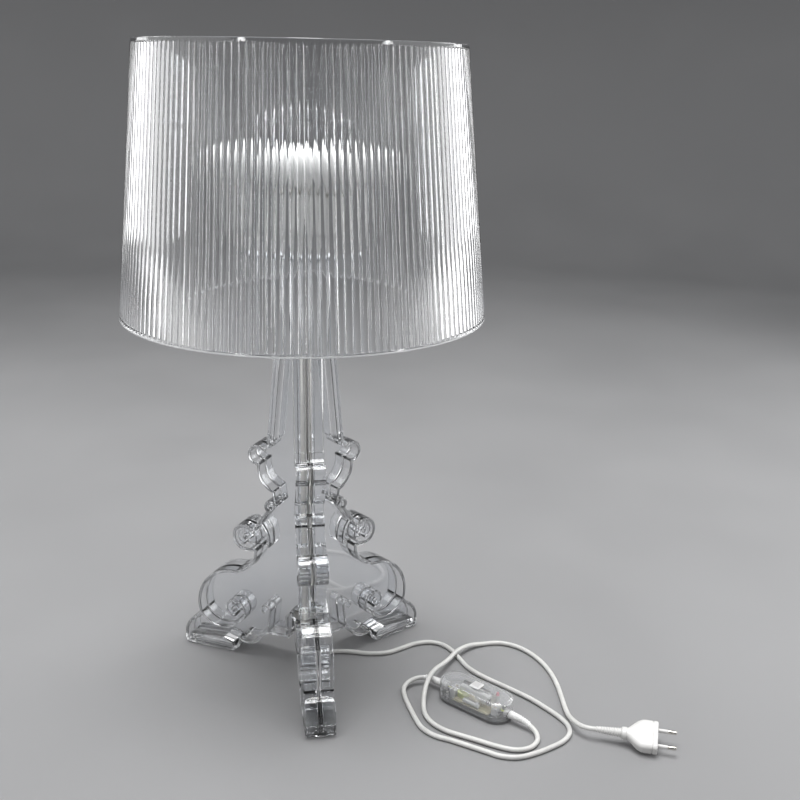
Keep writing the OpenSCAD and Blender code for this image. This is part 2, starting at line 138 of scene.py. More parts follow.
CLEAR = clear_plastic("clear_polycarbonate", (0.0, 0.035), 0.012)
RIBBED = clear_plastic("clear_ribbed_shade", (0.01, 0.05), 0.01)
# The rim is partly a frosted cut edge and partly a painted highlight: its milky white stands in for the
# bright line of light that the clear wall carries down to its edge.
PAINTED_HIGHLIGHT_RIM = clear_plastic("frosted_rim_painted_highlight", (0.15, 0.3), 0.01, 0.5)
HOUSING = clear_plastic("clear_dimmer_housing", (0.03, 0.09), 0.01, 0.88, 1.5)
PAD = clear_plastic("clear_pad", (0.1, 0.2), 0.02, 0.55, 1.45)
SHEATH = finish_of("lead_sheath", (0.5, 0.5, 0.485), (0.58, 0.575, 0.56), (0.34, 0.48), 60, 0.02)
PLUG = finish_of("plug_plastic", (0.54, 0.535, 0.525), (0.61, 0.605, 0.595), (0.3, 0.42), 90, 0.015)
WHITE = finish_of("white_plastic", (0.62, 0.62, 0.615), (0.7, 0.7, 0.695), (0.26, 0.4), 70, 0.015)
OPAL = finish_of("opal_glass", (0.84, 0.84, 0.83), (0.9, 0.9, 0.89), (0.1, 0.22), 40, 0.005, Coat_Weight=0.6)
CHROME = finish_of("chrome", (0.78, 0.79, 0.8), (0.85, 0.86, 0.87), (0.06, 0.18), 50, 0.004, Metallic=1.0)
STEEL = finish_of("zinc_steel", (0.76, 0.74, 0.7), (0.86, 0.84, 0.8), (0.25, 0.42), 80, 0.01, Metallic=1.0)
NICKEL = finish_of("nickel_pin", (0.6, 0.58, 0.54), (0.7, 0.68, 0.64), (0.12, 0.28), 120, 0.004, Metallic=1.0)
BRASS = finish_of("holder_brass", (0.66, 0.5, 0.25), (0.78, 0.62, 0.33), (0.2, 0.4), 90, 0.006, Metallic=1.0)
BOARD = finish_of("circuit_board", (0.42, 0.38, 0.22), (0.5, 0.46, 0.3), (0.4, 0.6), 120, 0.02)
CORE = finish_of("choke_core", (0.52, 0.58, 0.12), (0.66, 0.72, 0.22), (0.35, 0.5), 90, 0.02)
DARK = finish_of("dark_plastic", (0.02, 0.02, 0.022), (0.045, 0.045, 0.05), (0.35, 0.55), 120, 0.01)
FUSE = finish_of("fuse_glass", (0.72, 0.73, 0.72), (0.82, 0.83, 0.82), (0.08, 0.2), 80, 0.004)
RED = finish_of("red_lens", (0.66, 0.12, 0.18), (0.8, 0.2, 0.27), (0.12, 0.25), 80, 0.004, Coat_Weight=0.5)


# ---------------------------------------------------------------- mesh tools
JOIN, SLIVER = 0.001, 0.0005  # points this close are joined, and edges this short are dissolved
TINY = 0.01  # the radius of a turned part's end, on its axis


def at(x, y, z):
    return Matrix.Translation((x, y, z))


def about(axis, degrees):
    return Matrix.Rotation(math.radians(degrees), 4, axis)


def built(name, verts, faces):
    """A closed mesh, in millimetres, with its doubled points joined and its faces turned outwards."""
    mesh = bpy.data.meshes.new(name)
    mesh.from_pydata([tuple(v) for v in verts], [], faces)
    work = bmesh.new()
    work.from_mesh(mesh)
    bmesh.ops.remove_doubles(work, verts=work.verts, dist=JOIN)
    bmesh.ops.dissolve_degenerate(work, edges=work.edges, dist=SLIVER)
    bmesh.ops.recalc_face_normals(work, faces=work.faces)
    work.to_mesh(mesh)
    work.free()
    return mesh


def combined(operation, first, others):
    """One closed mesh from several: their union, or the first less the others."""
    base = bpy.data.objects.new("base", first)
    SCENE.collection.objects.link(base)
    for other in others:
        tool = bpy.data.objects.new("tool", other)
        SCENE.collection.objects.link(tool)
        step = base.modifiers.new("step", "BOOLEAN")
        step.operation = operation
        step.solver = "MANIFOLD"
        step.object = tool
        graph = bpy.context.evaluated_depsgraph_get()
        base.data = bpy.data.meshes.new_from_object(base.evaluated_get(graph), depsgraph=graph)
        base.modifiers.clear()
        bpy.data.objects.remove(tool)
    mesh = base.data
    bpy.data.objects.remove(base)
    return mesh


def placed(mesh, matrix):
    """A copy of a mesh, moved; a mirrored one has its faces turned back out."""
    copy = mesh.copy()
    copy.transform(matrix)
    if matrix.determinant() < 0:
        copy.flip_normals()
    return copy


def shown(name, mesh, material, body, replaces=(), crease=32, even=True):
    """Puts a mesh in the scene as a piece that rides on a CAD body."""
    mesh = mesh.copy()
    mesh.transform(Matrix.Scale(MM, 4))
    mesh.materials.clear()
    mesh.materials.append(material)
    mesh.shade_smooth()
    mesh.set_sharp_from_angle(angle=math.radians(crease))
    piece = bpy.data.objects.new(name, mesh)
    SCENE.collection.objects.link(piece)
    if even:
        weigh = piece.modifiers.new("even_shading", "WEIGHTED_NORMAL")
        weigh.keep_sharp = True
    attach(piece, body)
    if replaces:
        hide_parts(*replaces)


def arc(centre, radius, start, end, steps):
    """Points along part of a circle, between two angles in degrees."""
    return [
        (centre[0] + radius * math.cos(a), centre[1] + radius * math.sin(a))
        for a in (math.radians(start + (end - start) * i / steps) for i in range(steps + 1))
    ]


def rounded(corners, radius, steps=3):
    """A closed outline whose corners are rounded."""
    outline = []
    for i, corner in enumerate(corners):
        here = Vector(corner)
        before = (Vector(corners[i - 1]) - here).normalized()
        after = (Vector(corners[(i + 1) % len(corners)]) - here).normalized()
        reach = radius / math.tan(before.angle(after) / 2)
        a, b = here + before * reach, here + after * reach
        for t in (k / steps for k in range(steps + 1)):
            outline.append(tuple(a * (1 - t) ** 2 + here * 2 * t * (1 - t) + b * t**2))
    return outline


def hoop(radius, z, steps, knurl=0):
    """A level ring of points about Z, where every second point lies deeper by the knurl."""
    ring = []
    for k in range(steps):
        a, r = 2 * math.pi * k / steps, radius - knurl * (k % 2)
        ring.append((r * math.cos(a), r * math.sin(a), z))
    return ring


def quads(rows, count, looped=False):
    """Faces between neighbouring rows of points, and between the last row and the first if looped."""
    faces = []
    for i in range(rows if looped else rows - 1):
        low, high = i * count, (i + 1) % rows * count
        faces += [(low + j, low + (j + 1) % count, high + (j + 1) % count, high + j) for j in range(count)]
    return faces


def stacked(name, rings, looped=False):
    """A closed solid through rings of equally many points: its two ends are filled, or joined if looped."""
    count = len(rings[0])
    faces = quads(len(rings), count, looped)
    if not looped:
        faces += [tuple(range(count)), tuple(range((len(rings) - 1) * count, len(rings) * count))]
    return built(name, [point for ring in rings for point in ring], faces)


def lathe(name, profile, steps=48, start=0, turn=360):
    """Revolves a closed outline of (radius, height) about Z, all round or through part of a turn."""
    looped = turn == 360
    rings = []
    for i in range(steps if looped else steps + 1):
        a = math.radians(start + turn * i / steps)
        rings.append([(r * math.cos(a), r * math.sin(a), z) for r, z in profile])
    return stacked(name, rings, looped)


def turned(name, profile, steps=40, matrix=None, looped=False):
    """A turned solid about Z through (height, radius, knurl). Its ends are filled, or joined if looped."""
    mesh = stacked(name, [hoop(radius, z, steps, *knurl) for z, radius, *knurl in profile], looped)
    return placed(mesh, matrix) if matrix else mesh


# ---------------------------------------------------------------- leads
LEAD_D = 5
LEAD_A = [
    (0, 0, 25), (1.5, 0.5, 16.5), (6, 2, 9.5), (12.5, 5, 4.8), (21, 8, 2.9), (33, 11, 2.7), (50, 8, 2.7),
    (71, 1, 2.7), (92, 0, 2.7), (110, 7, 2.7), (128, 15, 2.7), (146, 16, 2.7), (160, 8, 2.7),
    (168.5, -7, 2.7), (173, -25, 2.7), (179, -46, 2.7), (192, -67, 2.7), (212, -91, 2.7), (231, -115, 2.7),
    (244, -137, 2.7), (252, -153, 2.7), (256, -168, 2.7), (253, -182, 2.7), (243, -193, 2.7),
    (228, -201, 2.7), (210, -208, 2.7), (191, -212, 2.7), (174, -208, 2.7), (160, -198, 2.7),
    (131, -176, 2.7), (116, -166, 2.7), (106, -153, 2.7), (101.5, -137, 2.7), (97.5, -103, 2.7),
    (97, -86, 3.6), (99.5, -76, 5), (107, -68.5, 6.6), (117, -65.6, 8), (126.8, -68.1, 8.8),
    (132.6, -73, 9),
]
LEAD_B = [
    (207.4, -159, 9), (213.5, -166, 7), (218.3, -176, 4.6), (217.3, -187.5, 3.2), (210, -196.5, 2.7),
    (199.5, -200.5, 2.7), (187, -199, 2.7), (171, -190, 2.7), (156, -179, 2.7), (141, -168.5, 2.7),
    (127, -157.5, 2.7), (117, -143.5, 2.7), (112.5, -127, 2.9), (114, -110, 5.5), (119, -93, 11),
    (127, -77, 16), (137, -61, 14.5), (148.5, -45, 10), (160, -30, 7.4), (172, -16.5, 8.3), (189, -3.5, 6),
    (207, 3, 2.9), (227, 3, 2.7), (244, -6.5, 2.7), (256, -22, 2.7), (264.5, -43, 2.7), (268.5, -67, 2.7),
    (268.5, -92, 2.7), (265.5, -118, 3), (262, -141, 4.8), (260, -158, 7.6), (261, -171.5, 10),
    (264.5, -182, 11.4), (271, -188.8, 12.3), (280.7, -192.8, 12.5),
]


def slope(points, i):
    """A smooth curve's direction at one of its points: half the way between that point's neighbours."""
    return (points[min(i + 1, len(points) - 1)] - points[max(i - 1, 0)]) / 2


def round_line(name, radius, material, around, along):
    """A round line's curve data, still without points, with its steps round it and along each stretch."""
    data = bpy.data.curves.new(name, "CURVE")
    data.dimensions = "3D"
    data.bevel_depth = radius * MM
    data.bevel_resolution = around
    data.resolution_u = along
    data.use_fill_caps = True
    data.materials.append(material)
    return data


def lead(name, route, node):
    """A round lead along its points, as one smooth curve."""
    points = [Vector(p) * MM for p in route]
    data = round_line(name, LEAD_D / 2, SHEATH, 6, 10)
    line = data.splines.new("BEZIER")
    line.bezier_points.add(len(points) - 1)
    for i, knot in enumerate(line.bezier_points):
        knot.handle_left_type = knot.handle_right_type = "FREE"
        knot.co = points[i]
        knot.handle_left = points[i] - slope(points, i) / 3
        knot.handle_right = points[i] + slope(points, i) / 3
    piece = bpy.data.objects.new(name, data)
    SCENE.collection.objects.link(piece)
    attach(piece, "stand")
    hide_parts(node)
    return piece


lamp_lead = lead("flex_lamp_to_dimmer", LEAD_A, "lead_lamp_to_dimmer")
plug_lead = lead("flex_dimmer_to_plug", LEAD_B, "lead_dimmer_to_plug")


def smooth(route, steps=10):
    """The smooth curve of a lead, as a dense list of points."""
    points = [Vector(p) for p in route]
    dense = []
    for i in range(len(points) - 1):
        a, b = points[i], points[i + 1]
        for t in (k / steps for k in range(steps)):
            dense.append(
                a * (2 * t**3 - 3 * t**2 + 1) + b * (3 * t**2 - 2 * t**3)
                + slope(points, i) * (t**3 - 2 * t**2 + t) + slope(points, i + 1) * (t**3 - t**2)
            )
    return dense + [points[-1]]


def walk(path, distance):
    """The point at a distance along a dense path, and the direction there."""
    for a, b in zip(path, path[1:]):
        reach = (b - a).length
        if distance <= reach:
            return a + (b - a) * distance / reach, (b - a).normalized()
        distance -= reach
    return path[-1], (path[-1] - path[-2]).normalized()


def sleeve(name, path, profile, steps=28):
    """A solid round a path, through (distance along it, radius)."""
    rings = []
    for distance, radius in profile:
        here, along = walk(path, distance)
        turn = along.to_track_quat("Z", "Y").to_matrix()
        rings.append([here + turn @ Vector(point) for point in hoop(radius, 0, steps)])
    return stacked(name, rings)


# Points along one rib: its share of the pitch, and the groove's share of its depth
RIB_SHAPE = ((0, 1), (0.12, 0.25), (0.25, 0), (0.5, 0), (0.63, 0.25), (0.75, 1))


def ribbed(start, end, wide, narrow, pitch=2.6, depth=0.65):
    """A tapered profile with soft ribs, as (distance, radius), for a flexible strain relief."""
    profile = []
    for i in range(round((end - start) / pitch)):
        for share, cut in RIB_SHAPE:
            s = start + (i + share) * pitch
            profile.append((s, wide + (narrow - wide) * (s - start) / (end - start) - depth * cut))
    return profile + [(end, narrow - 0.5)]


# ---------------------------------------------------------------- stand shells
WING_T, SEAM, WEB_T, RIBBON_T = 31.5, 0.15, 2.2, 3.6
HALF_T = WING_T / 2
WEB_Y = SEAM + WEB_T
STAND_H, WEB_TOP = 467, 466
MOULDING_ROOT = WEB_Y - 1.4  # the mouldings start inside the web
SLEEVE_IN, SLEEVE_OUT, WEB_IN = 6.2, 8.8, 7.5
SLEEVE_BOTTOM, WEB_BOTTOM, ARCH_Z, RECESS_R = 58, 60, 33.5, 17
FLANGE_R, FLANGE_T = 18, 3.5
KNOB, BELLY, BEAD, VOLUTE = (50.5, 250), (22, 236), (36, 191), (68.5, 149.5)
NECK, SCROLL, FOOT, HOOK, ROLL_AT = (88, 137.5), (83.5, 57), (122, 12), (45, 63), (86, 55)

# The wing's outline from its top to its foot and back to the tube, as (radius, height)
WING = (
    [(19.5, WEB_TOP), (39.5, 262)]
    + arc(KNOB, 12, 128, -84, 30)
    + arc(BELLY, 30, 0, -66, 12)
    + arc(BEAD, 8, 118, -42, 18)
    + arc(VOLUTE, 16, 128, -90, 32)
    + [(58, 133.5)]
    + arc(NECK, 31, 198, 254, 10)
    + arc(SCROLL, 49, 92, -15, 28)
    + arc(FOOT, 29.5, 66, 8, 9)
    + arc((145.5, 6.5), 5.5, 0, -90, 6)
    + arc((91, 7), 6, -90, -122, 3)
    + [(80.5, 8)]
    + arc((70, 37.5), 22.5, 288, 204, 14)
    + [(42, ARCH_Z), (RECESS_R, ARCH_Z), (RECESS_R, WEB_BOTTOM)]
)


def sides(path):
    """At each point of an open path, the direction to its right and how far a mitre stretches it."""
    found = []
    for i in range(len(path)):
        steps = [(Vector(path[k + 1]) - Vector(path[k])).normalized()
                 for k in (i - 1, i) if 0 <= k < len(path) - 1]
        rights = [Vector((step.y, -step.x)) for step in steps]
        middle = sum(rights, Vector((0, 0))).normalized()
        found.append((middle, 1 / max(middle.dot(rights[0]), 0.6)))
    return found


def ribbon_profile():
    """From the seam over the ribbon to the web, as (distance from the outline, height over the middle)."""
    edge, foot, groove = 1.1, 0.8, 0.3
    middle = RIBBON_T / 2
    return (
        [(0.3, SEAM), (0, SEAM + 0.3), (0, WEB_Y)]
        + arc((edge, HALF_T - edge), edge, 180, 90, 4)
        + [(middle - 0.35, HALF_T), (middle, HALF_T - groove), (middle + 0.35, HALF_T)]
        + arc((RIBBON_T - edge, HALF_T - edge), edge, 90, 0, 4)
        + arc((RIBBON_T + foot, WEB_Y + foot), foot, 180, 270, 3)
    )


def half_wing_body():
    """Web and ribbon of half a wing: x is the radius, y the height over the wing's middle plane."""
    profile = ribbon_profile()
    wide, last = len(profile), len(WING) - 1
    at_web = 2  # the profile's point at the web's own height
    verts, faces = [], []
    for i, ((r, z), (right, stretch)) in enumerate(zip(WING, sides(WING))):
        if i == 0:  # the top is cut level
            right, stretch = Vector((-1, 0)), 1
        verts += [(r + right.x * d * stretch, y, z + right.y * d * stretch) for d, y in profile]
    low_back, low_front, top_front, top_back = range(len(verts), len(verts) + 4)
    verts += [(WEB_IN, SEAM, WEB_BOTTOM), (WEB_IN, WEB_Y, WEB_BOTTOM),
              (WEB_IN, WEB_Y, WEB_TOP), (WEB_IN, SEAM, WEB_TOP)]
    for i in range(last):
        for j in range(wide - 1):
            a = i * wide + j
            faces.append((a, a + wide, a + wide + 1, a + 1))
    end = last * wide
    faces.append(tuple(i * wide for i in range(last + 1)) + (low_back, top_back))
    faces.append(tuple(i * wide + wide - 1 for i in range(last + 1)) + (end + at_web, low_front, top_front))
    faces.append(tuple(range(end + at_web, end + wide)))
    faces.append(tuple(end + j for j in range(at_web + 1)) + (low_front, low_back))
    faces.append(tuple(range(wide)) + (top_front, top_back))
    faces.append((low_back, low_front, top_front, top_back))
    return built("half_wing", verts, faces)


def moulding(path, wide, top, edge=0.9):
    """A rounded strip that stands on the web along a path."""
    half = wide / 2
    profile = (
        [(-half, MOULDING_ROOT)]
        + arc((-half + edge, top - edge), edge, 180, 90, 3)
        + arc((half - edge, top - edge), edge, 90, 0, 3)
        + [(half, MOULDING_ROOT)]
    )
    rings = [
        [(r + right.x * d * s, y, z + right.y * d * s) for d, y in profile]
        for (r, z), (right, s) in zip(path, sides(path))
    ]
    return stacked("moulding", rings)


def boss(centre, radius, top, dome, steps=28):
    """A round post with a domed end that stands on the web."""
    profile = [(TINY, MOULDING_ROOT), (radius, MOULDING_ROOT), (radius, top - dome)]
    profile += [(max(radius * math.cos(a), TINY), top - dome + dome * math.sin(a))
                for a in (math.radians(15 * k) for k in range(1, 7))]
    rings = [[(centre[0] + x, y, centre[1] + z) for x, z, y in hoop(r, y, steps)] for r, y in profile]
    return stacked("boss", rings)


def spiral(centre, r0, r1, start, end, steps):
    """A spiral round a centre, whose radius goes from r0 to r1."""
    path = []
    for i in range(steps + 1):
        r, a = r0 + (r1 - r0) * i / steps, math.radians(start + (end - start) * i / steps)
        path.append((centre[0] + r * math.cos(a), centre[1] + r * math.sin(a)))
    return path


def foot_block(top, bevel=1.6):
    """The solid foot under the scroll, with a bevelled face."""
    corners = [Vector(c) for c in ((88, 2.4), (147.5, 2.4), (145.5, 12.5), (101, 16), (88, 12))]
    middle = Vector((118, 8.5))
    rings = []
    for cut, y in ((0, MOULDING_ROOT), (0, top - bevel), (bevel, top)):
        outline = rounded([corner - (corner - middle).normalized() * cut for corner in corners], 2)
        rings.append([(r, y, z) for r, z in outline])
    return stacked("foot", rings)


def wing_mouldings():
    """The upper ribbon's thickening, the rolled ends, the leaf beside the volute, the hook and the foot."""
    top = HALF_T - 0.6
    yield moulding([(14.4, 462), (34.4, 268)], 6, top, edge=1.4)
    yield moulding(spiral(VOLUTE, 14.8, 7.8, -80, -440, 60), 2.6, top)
    yield boss(VOLUTE, 4, HALF_T - 0.9, 1.6)
    yield moulding(arc(VOLUTE, 27.8, 138, 196, 14), 4.5, top - 0.5, edge=1.9)
    yield moulding(
        spiral(ROLL_AT, 44.5, 15.6, -16, -100, 24) + spiral(ROLL_AT, 15.5, 6.8, -106, -460, 56), 2.8, top)
    yield boss(ROLL_AT, 4, HALF_T - 0.9, 1.6)
    yield moulding(arc(HOOK, 5, -60, 190, 20) + [(41.5, 50), (43.5, ARCH_Z + 1)], 2.6, top)
    yield boss(BEAD, 4, HALF_T - 0.2, 2.4)
    yield foot_block(HALF_T - 0.9)


def sleeve_third():
    """A third of the shells' inner sleeve, with its two flanges."""
    gap = 2  # degrees left open at each side
    outline = [
        (SLEEVE_IN, SLEEVE_BOTTOM), (FLANGE_R, SLEEVE_BOTTOM), (FLANGE_R, SLEEVE_BOTTOM + FLANGE_T),
        (SLEEVE_OUT, SLEEVE_BOTTOM + FLANGE_T), (SLEEVE_OUT, STAND_H - FLANGE_T),
        (FLANGE_R, STAND_H - FLANGE_T), (FLANGE_R, STAND_H), (SLEEVE_IN, STAND_H),
    ]
    return lathe("sleeve", outline, 30, gap, 120 - 2 * gap)


def make_shells():
    """Each shell is half of one wing, half of the next and the third of the sleeve between them."""
    half = combined("UNION", half_wing_body(), list(wing_mouldings()))
    mirror = Matrix.Scale(-1, 4, (0, 1, 0))
    shell = combined("UNION", half.copy(), [placed(half, about("Z", 120) @ mirror), sleeve_third()])
    for name, azimuth in (("right", -90), ("rear", 30), ("left", 150)):
        shown(f"moulded_shell_{name}", placed(shell, about("Z", azimuth)), CLEAR, "stand",
              [f"stand_shell_{name}"])


make_shells()


# ---------------------------------------------------------------- ribbed shade
BOTTOM_R, TOP_R, BOTTOM_Z, TOP_Z = 185, 158.8, 410, 672
SHADE_WALL, RIBS, RIB_STEPS, RIB_DEPTH, RIM_H = 2.6, 160, 10, 0.95, 2


def shade_r(z):
    """The cone's outer radius at a height."""
    return BOTTOM_R + (TOP_R - BOTTOM_R) * (z - BOTTOM_Z) / (TOP_Z - BOTTOM_Z)


def shade_ring(z, proud, ribs):
    """A ring of the wall: its height, how far it stands out, and its ribs' share of their full depth."""
    around = RIBS * RIB_STEPS
    ring = []
    for k in range(around):
        a = 2 * math.pi * k / around
        dip = 1 - math.sin(math.pi * (k % RIB_STEPS) / RIB_STEPS)
        r = shade_r(z) + proud - RIB_DEPTH * ribs * dip
        ring.append((r * math.cos(a), r * math.sin(a), z))
    return ring


def make_shade():
    """The ribbed wall, whose two edges are plain, and the frosted rim under it. The rim's milky white is
    partly a frosted cut edge and partly a painted highlight: it stands in for the bright line of light that
    the clear wall carries down to its edge.
    """
    edge = 0.8
    low = [(BOTTOM_Z + RIM_H, 0, 0), (BOTTOM_Z + 3, 0, 0)]
    wall = [(BOTTOM_Z + 3.6, 0, 0.6), (BOTTOM_Z + 4.6, 0, 1), (TOP_Z - 4.6, 0, 1), (TOP_Z - 3.7, 0, 0.5)]
    top = [(TOP_Z - 3.3, 0, 0), (TOP_Z - edge, 0, 0), (TOP_Z - 0.3, -0.25, 0), (TOP_Z, -edge, 0)]
    inner = [(z, proud - SHADE_WALL, 0) for z, proud in (
        (TOP_Z, edge), (TOP_Z - edge, 0), (TOP_Z - 90, 0), (TOP_Z - 175, 0), (BOTTOM_Z + RIM_H, 0))]
    shade = stacked("shade", [shade_ring(*level) for level in low + wall + top + inner], looped=True)
    shown("ribbed_shade", shade, RIBBED, "shade_unit", ["shade"], crease=24, even=False)
    outer_r, inner_r = shade_r(BOTTOM_Z), shade_r(BOTTOM_Z) - SHADE_WALL
    top_z = BOTTOM_Z + RIM_H - 0.02
    bead = rounded([(inner_r, BOTTOM_Z), (outer_r, BOTTOM_Z), (outer_r - 0.2, top_z), (inner_r, top_z)], edge)
    # The rim's milky white is partly a frosted edge and partly a painted highlight of light carried down the
    # wall.
    shown("shade_rim", lathe("rim", bead, 240), PAINTED_HIGHLIGHT_RIM, "shade_unit", ["shade"], even=False)


make_shade()


# ---------------------------------------------------------------- lampholders and bulbs
LAMP_AZ, LAMP_TILT, LAMP_R, LAMP_Z = (-90, 30, 150), 12, 24, 487
HOUSING_R, HOUSING_IN, HOUSING_H = 13.5, 11.6, 50
CAP_R, CAP_Z, CAP_TOP, THREAD_PITCH, THREAD_DEPTH = 6.9, 24, 42, 2.8, 0.55
GLOBE_Z, GLOBE_R, NECK_R = 74, 22.5, 7.2


def holder_housing():
    """White skirt with grip grooves, a rounded base and a rolled mouth."""
    grooves, pitch, depth, floor = 6, 3.2, 0.5, 3
    outside = [(10.5, 0), (12.6, 0.5), (HOUSING_R, 2)]
    for z in (6 + pitch * k for k in range(grooves)):
        outside += [(HOUSING_R, z), (HOUSING_R - depth, z + 0.5),
                    (HOUSING_R - depth, z + 1.1), (HOUSING_R, z + 1.6)]
    outside += [(HOUSING_R, 40), (HOUSING_R - 0.7, 40.6), (HOUSING_R - 0.7, 46), (HOUSING_R, 46.6)]
    mouth = [(HOUSING_R, 49.2), (HOUSING_R - 0.6, HOUSING_H),
             (HOUSING_IN + 0.4, HOUSING_H), (HOUSING_IN, 49.4)]
    return lathe("housing", outside + mouth + [(HOUSING_IN, floor), (TINY, floor), (TINY, 0)], 56)


def bulb_cap():
    """A screw cap: the centre contact, the sloping insulator and the thread."""
    steps, rows, run_in = 48, 76, 6
    contact = [(TINY, 19.5), (2.2, 19.5), (2.6, 20), (2.6, 21), (4, 21.1), (6, 23.4)]
    rings = [hoop(r, z, steps) for r, z in contact]
    for i in range(rows + 1):
        z = CAP_Z + (CAP_TOP - CAP_Z) * i / rows
        fade = min(1, i / run_in, (rows - i) / run_in)
        ring = []
        for k in range(steps):
            a = 2 * math.pi * k / steps
            wave = 0.5 - 0.5 * math.cos(2 * math.pi * z / THREAD_PITCH - a)
            r = CAP_R - THREAD_DEPTH * wave * fade
            ring.append((r * math.cos(a), r * math.sin(a), z))
        rings.append(ring)
    return stacked("cap", rings)


def bulb_globe():
    """A neck that widens into a round globe."""
    profile = [(CAP_TOP, TINY), (CAP_TOP, 6.6), (CAP_TOP + 0.5, NECK_R), (47, NECK_R),
               (49.2, 7.6), (51.2, 8.8), (53.2, 10.6), (55, 12.5)]
    low, steps = -51, 30  # the angle at which the neck meets the globe
    for k in range(steps + 1):
        a = math.radians(low + (90 - low) * k / steps)
        profile.append((GLOBE_Z + GLOBE_R * math.sin(a), max(GLOBE_R * math.cos(a), TINY)))
    return turned("globe", profile, 64)


def make_lamps():
    """Three tilted lampholders, each with its screw-in bulb."""
    housing, cap, globe = holder_housing(), bulb_cap(), bulb_globe()
    for k, azimuth in enumerate(LAMP_AZ, 1):
        seat = about("Z", azimuth) @ at(LAMP_R, 0, LAMP_Z) @ about("Y", LAMP_TILT)
        shown(f"grooved_holder_{k}", placed(housing, seat), WHITE, "stand",
              [f"holder_housing_{k}"])
        shown(f"threaded_cap_{k}", placed(cap, seat), STEEL, f"bulb_{k}",
              [f"bulb_cap_{k}"], even=False)
        shown(f"opal_globe_{k}", placed(globe, seat), OPAL, f"bulb_{k}",
              [f"bulb_globe_{k}"], even=False)


make_lamps()


# ---------------------------------------------------------------- shade support, gland and nuts
SCREW_Z, ROD_BORE, SPIDER_TOP, WASHER_T = 591, 3.1, 603, 1.3


def make_clamp_screw():
    """A knurled knob on a collar, with its threaded shank in the tube's collar."""
    shank = [(3.4, TINY), (3.4, 1.2), (3.8, 1.6)]
    for k in range(6):
        shank += [(4.2 + 0.8 * k, 1.6), (4.6 + 0.8 * k, 1.35)]
    knob = [(9, 1.6), (9, 2.4), (10, 2.4), (10, 4.4), (10.5, 5), (10.7, 5, 0.4), (15.2, 5, 0.4), (15.4, 5),
            (16, 4.4), (16, 2.6), (15.4, 2.2), (15.4, TINY)]
    screw = turned("clamp", shank + knob, 56, at(0, 0, SCREW_Z) @ about("X", -90))
    shown("knurled_clamp_screw", screw, CHROME, "clamp", ["clamp_screw"], even=False)


def make_finial():
    """A knurled nut with a stepped, rounded crown and the rod's bore."""
    outline = [(0, ROD_BORE), (0, 8.4), (0.6, 9), (1.2, 9, 0.45), (6.8, 9, 0.45), (7.4, 9), (8, 8.4),
               (8.2, 6.7), (8.6, 6.5), (10.2, 6.5), (11.4, 5.9), (12, 4.6), (12, ROD_BORE)]
    nut = turned("finial", outline, 72, at(0, 0, SPIDER_TOP + WASHER_T), looped=True)
    shown("knurled_finial", nut, CHROME, "finial", ["finial_nut"], even=False)


def make_gland():
    """The lead's ribbed strain relief under the stand's tube."""
    path = [Vector((0, 0, 53)), Vector((0, 0, 45))] + smooth(LEAD_A)
    profile = [(0, 3.4), (0.5, 3.9), (7.6, 3.9), (8, 5.2), (8.4, 5.6), (11, 5.6)] + ribbed(11.2, 33, 5.3, 3.1)
    shown("ribbed_gland", sleeve("gland", path, profile), WHITE, "stand", ["cable_gland"])


make_clamp_screw()
make_finial()
make_gland()


# ---------------------------------------------------------------- in-line dimmer
DIMMER_AT, DIMMER_TURN = (170, -116, 0), -49
DIMMER_L, DIMMER_W, DIMMER_H, SPLIT_Z, LEAD_Z = 88, 36, 24, 10, 9
END_X, DIMMER_WALL, GROMMET_R = DIMMER_L / 2 - DIMMER_W / 2, 2, 4.4
WAY_R = GROMMET_R + 0.05
SCREWS = ((31, 9), (-31, -9))
BOARD_TOP = 5.6
DIMMER = at(*DIMMER_AT) @ about("Z", DIMMER_TURN)


def pill(inset, z, steps=19):
    """A ring round the housing, moved inwards by inset."""
    r = DIMMER_W / 2 - inset
    ends = arc((END_X, 0), r, -90, 90, steps) + arc((-END_X, 0), r, 90, 270, steps)
    return [(x, y, z) for x, y in ends]


def solid_pill(levels):
    """A solid as long and wide as the housing, through (inset, height)."""
    return stacked("pill", [pill(inset, z) for inset, z in levels])


def lead_ways():
    """Cutters for the leads' holes in the two ends."""
    return [turned("way", [(DIMMER_L / 2 - 8, WAY_R), (DIMMER_L / 2 + 4, WAY_R)], 32,
                   at(0, 0, LEAD_Z) @ about("Z", turn) @ about("Y", 90)) for turn in (0, 180)]


def soft_box(low, high, edge):
    """A box with bevelled edges."""
    rings = []
    for z, cut in ((low[2], edge), (low[2] + edge, 0), (high[2] - edge, 0), (high[2], edge)):
        corners = [(low[0] + cut, low[1] + cut), (high[0] - cut, low[1] + cut),
                   (high[0] - cut, high[1] - cut), (low[0] + cut, high[1] - cut)]
        rings.append([(x, y, z) for x, y in rounded(corners, edge)])
    return stacked("box", rings)


def dimmer_base():
    """The lower tray, with its two screw posts and its part of each lead's hole."""
    outer = solid_pill([(1.2, 0), (0.35, 0.35), (0, 1.2),
                        (0, SPLIT_Z - 1.6), (0.5, SPLIT_Z - 1.2), (0.5, SPLIT_Z)])
    inner = solid_pill([(3, 2), (2.3, 2.3), (DIMMER_WALL, 3), (DIMMER_WALL, SPLIT_Z + 2)])
    posts = [turned("post", [(1.5, 3), (8.6, 3), (9, 2.6)], 24, at(x, y, 0)) for x, y in SCREWS]
    holes = [turned("hole", [(-2, 1.6), (12, 1.6)], 24, at(x, y, 0)) for x, y in SCREWS]
    shell = combined("UNION", combined("DIFFERENCE", outer, [inner]), posts)
    return combined("DIFFERENCE", shell, holes + lead_ways())


def crown(wall, radius):
    """The rounded upper edge of the cover, or of its inside where wall is over 0, as (inset, height)."""
    return [(wall + radius - radius * math.cos(a), DIMMER_H - wall - radius + radius * math.sin(a))
            for a in (math.radians(15 * k) for k in range(7))]


